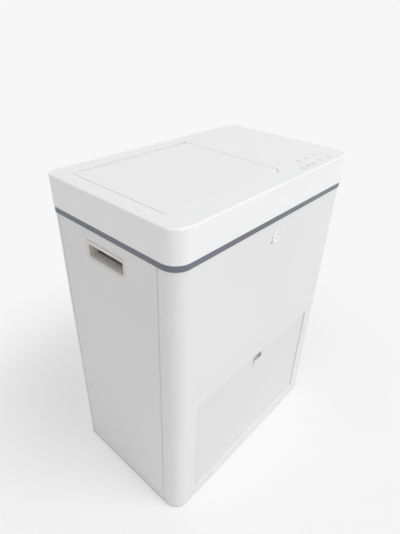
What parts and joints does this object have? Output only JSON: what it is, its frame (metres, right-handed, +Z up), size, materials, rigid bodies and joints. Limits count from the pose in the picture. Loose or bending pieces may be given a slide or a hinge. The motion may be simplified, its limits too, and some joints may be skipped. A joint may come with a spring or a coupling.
{
  "type": "food waste composter",
  "caption": "Floor-standing electric food waste composter: cabinet with inset motor-driven lid over a heated mixing chamber and a compost drawer below.",
  "frame": {"origin": "on the floor, under the middle of the cabinet", "axes": "+Z up, front face towards -Y, lid at the left end (-X) of the top"},
  "size_m": [0.6, 0.37, 0.8],
  "materials": {
    "drawer_white": "satin gloss, moulded",
    "cover_white": "satin gloss, moulded",
    "panel_white": "satin powder coat",
    "base_white": "moulded, fine grain",
    "band_grey": "moulded, blue grey",
    "handle_cream": "moulded, satin",
    "foot_rubber": "moulded",
    "zinc_steel": "zinc-coated sheet",
    "stainless": "brushed stainless sheet",
    "turned_steel": "turned and ground",
    "slide_steel": "bright zinc",
    "seal_silicone": "silicone",
    "seal_black": "nitrile rubber",
    "bronze": "sintered bronze",
    "liner_grey": "moulded",
    "acetal": "moulded acetal",
    "motor_black": "satin black",
    "cast_housing": "die cast",
    "electronics_black": "moulded",
    "board_green": "coated circuit board",
    "heater_orange": "silicone heater mat",
    "duct_grey": "moulded",
    "carbon": "carbon grains in a grid",
    "bin_grey": "moulded",
    "button_white": "gloss",
    "lamp_clear": "light pipe",
    "rocker_red": "gloss"
  },
  "bodies": {
    "cabinet": {"base_pan": "base_white", "feet": "foot_rubber", "front_panel": "panel_white", "left_side_panel": "panel_white", "right_side_panel": "panel_white", "rear_panel": "panel_white", "trim_band": "band_grey", "top_cover": "cover_white", "carrying_handles": "handle_cream", "frame_posts": "zinc_steel", "top_frame": "zinc_steel", "drawer_bay_plates": "zinc_steel", "mid_deck": "zinc_steel", "hinge_bushes": "bronze", "lid_motor": "motor_black", "motor_brackets": "zinc_steel", "reed_switch": "electronics_black", "feed_throat": "stainless", "chamber": "stainless", "chamber_cradles": "zinc_steel", "heater_mats": "heater_orange", "temperature_sensor": "electronics_black", "bearing_housings": "cast_housing", "shaft_bearings": "turned_steel", "shaft_seals": "seal_black", "bulkhead": "zinc_steel", "drive_motor": "motor_black", "flap_motor": "electronics_black", "exhaust_duct": "duct_grey", "fan_housing": "electronics_black", "filter_box": "duct_grey", "carbon_filter": "carbon", "power_supply": "cast_housing", "control_board": "board_green", "touch_sensor": "board_green", "status_lamp": "lamp_clear", "button_bezel": "button_white", "power_inlet": "electronics_black", "drawer_slides_outer": "slide_steel"},
    "lid": {"lid": "cover_white", "lid_liner": "liner_grey", "lid_seal": "seal_silicone", "lid_hinge_shaft": "turned_steel", "lid_sector_gear": "acetal", "lid_magnet": "electronics_black"},
    "lid_pinion": {"lid_pinion": "acetal"},
    "drawer": {"drawer_front": "drawer_white", "drawer_liner": "liner_grey", "compost_bin": "bin_grey", "drawer_slides_inner": "slide_steel"},
    "slide_middles": {"drawer_slides_middle": "slide_steel"},
    "agitator": {"agitator_shaft": "turned_steel", "paddles": "stainless", "drive_gear": "acetal"},
    "drive_pinion": {"drive_pinion": "turned_steel"},
    "fan_rotor": {"fan_rotor": "electronics_black"},
    "discharge_flap": {"discharge_flap": "stainless", "flap_shaft": "turned_steel"},
    "start_button": {"start_button": "button_white"},
    "power_rocker": {"power_rocker": "rocker_red"}
  },
  "joints": [
    {"name": "lid_hinge", "type": "hinge", "parent": "cabinet", "child": "lid", "pos_m": [-0.0995, 0.136, 0.789], "axis": [-1, 0, 0], "range_deg": [0, 80]},
    {"name": "lid_pinion_spin", "type": "hinge", "parent": "cabinet", "child": "lid_pinion", "pos_m": [0.084, 0.136, 0.7515], "axis": [-1, 0, 0], "range_deg": [-330, 10]},
    {"name": "drawer_slide", "type": "slide", "parent": "cabinet", "child": "drawer", "axis": [0, -1, 0], "range_m": [0, 0.3]},
    {"name": "slide_middle_travel", "type": "slide", "parent": "cabinet", "child": "slide_middles", "axis": [0, -1, 0], "range_m": [0, 0.15]},
    {"name": "agitator_spin", "type": "hinge", "parent": "cabinet", "child": "agitator", "pos_m": [-0.1, -0.004, 0.5], "axis": [1, 0, 0], "continuous": true},
    {"name": "drive_pinion_spin", "type": "hinge", "parent": "cabinet", "child": "drive_pinion", "pos_m": [0.1, -0.004, 0.40625], "axis": [1, 0, 0], "continuous": true},
    {"name": "fan_spin", "type": "hinge", "parent": "cabinet", "child": "fan_rotor", "pos_m": [0.117, 0.06, 0.657], "axis": [1, 0, 0], "continuous": true},
    {"name": "flap_swing", "type": "hinge", "parent": "cabinet", "child": "discharge_flap", "pos_m": [-0.1, 0.038, 0.3427], "axis": [1, 0, 0], "range_deg": [0, 70]},
    {"name": "start_button_press", "type": "slide", "parent": "cabinet", "child": "start_button", "axis": [0, 1, 0], "range_m": [0, 0.002], "stiffness_N_per_m": 600, "springref_m": -0.001},
    {"name": "power_rocker_tilt", "type": "hinge", "parent": "cabinet", "child": "power_rocker", "pos_m": [0.244, 0.1765, 0.12], "axis": [-1, 0, 0], "range_deg": [0, 16]}
  ],
  "couplings": [
    {"joint": "lid_pinion_spin", "follows": "lid_hinge", "ratio": -4},
    {"joint": "slide_middle_travel", "follows": "drawer_slide", "ratio": 0.5},
    {"joint": "drive_pinion_spin", "follows": "agitator_spin", "ratio": -4}
  ]
}
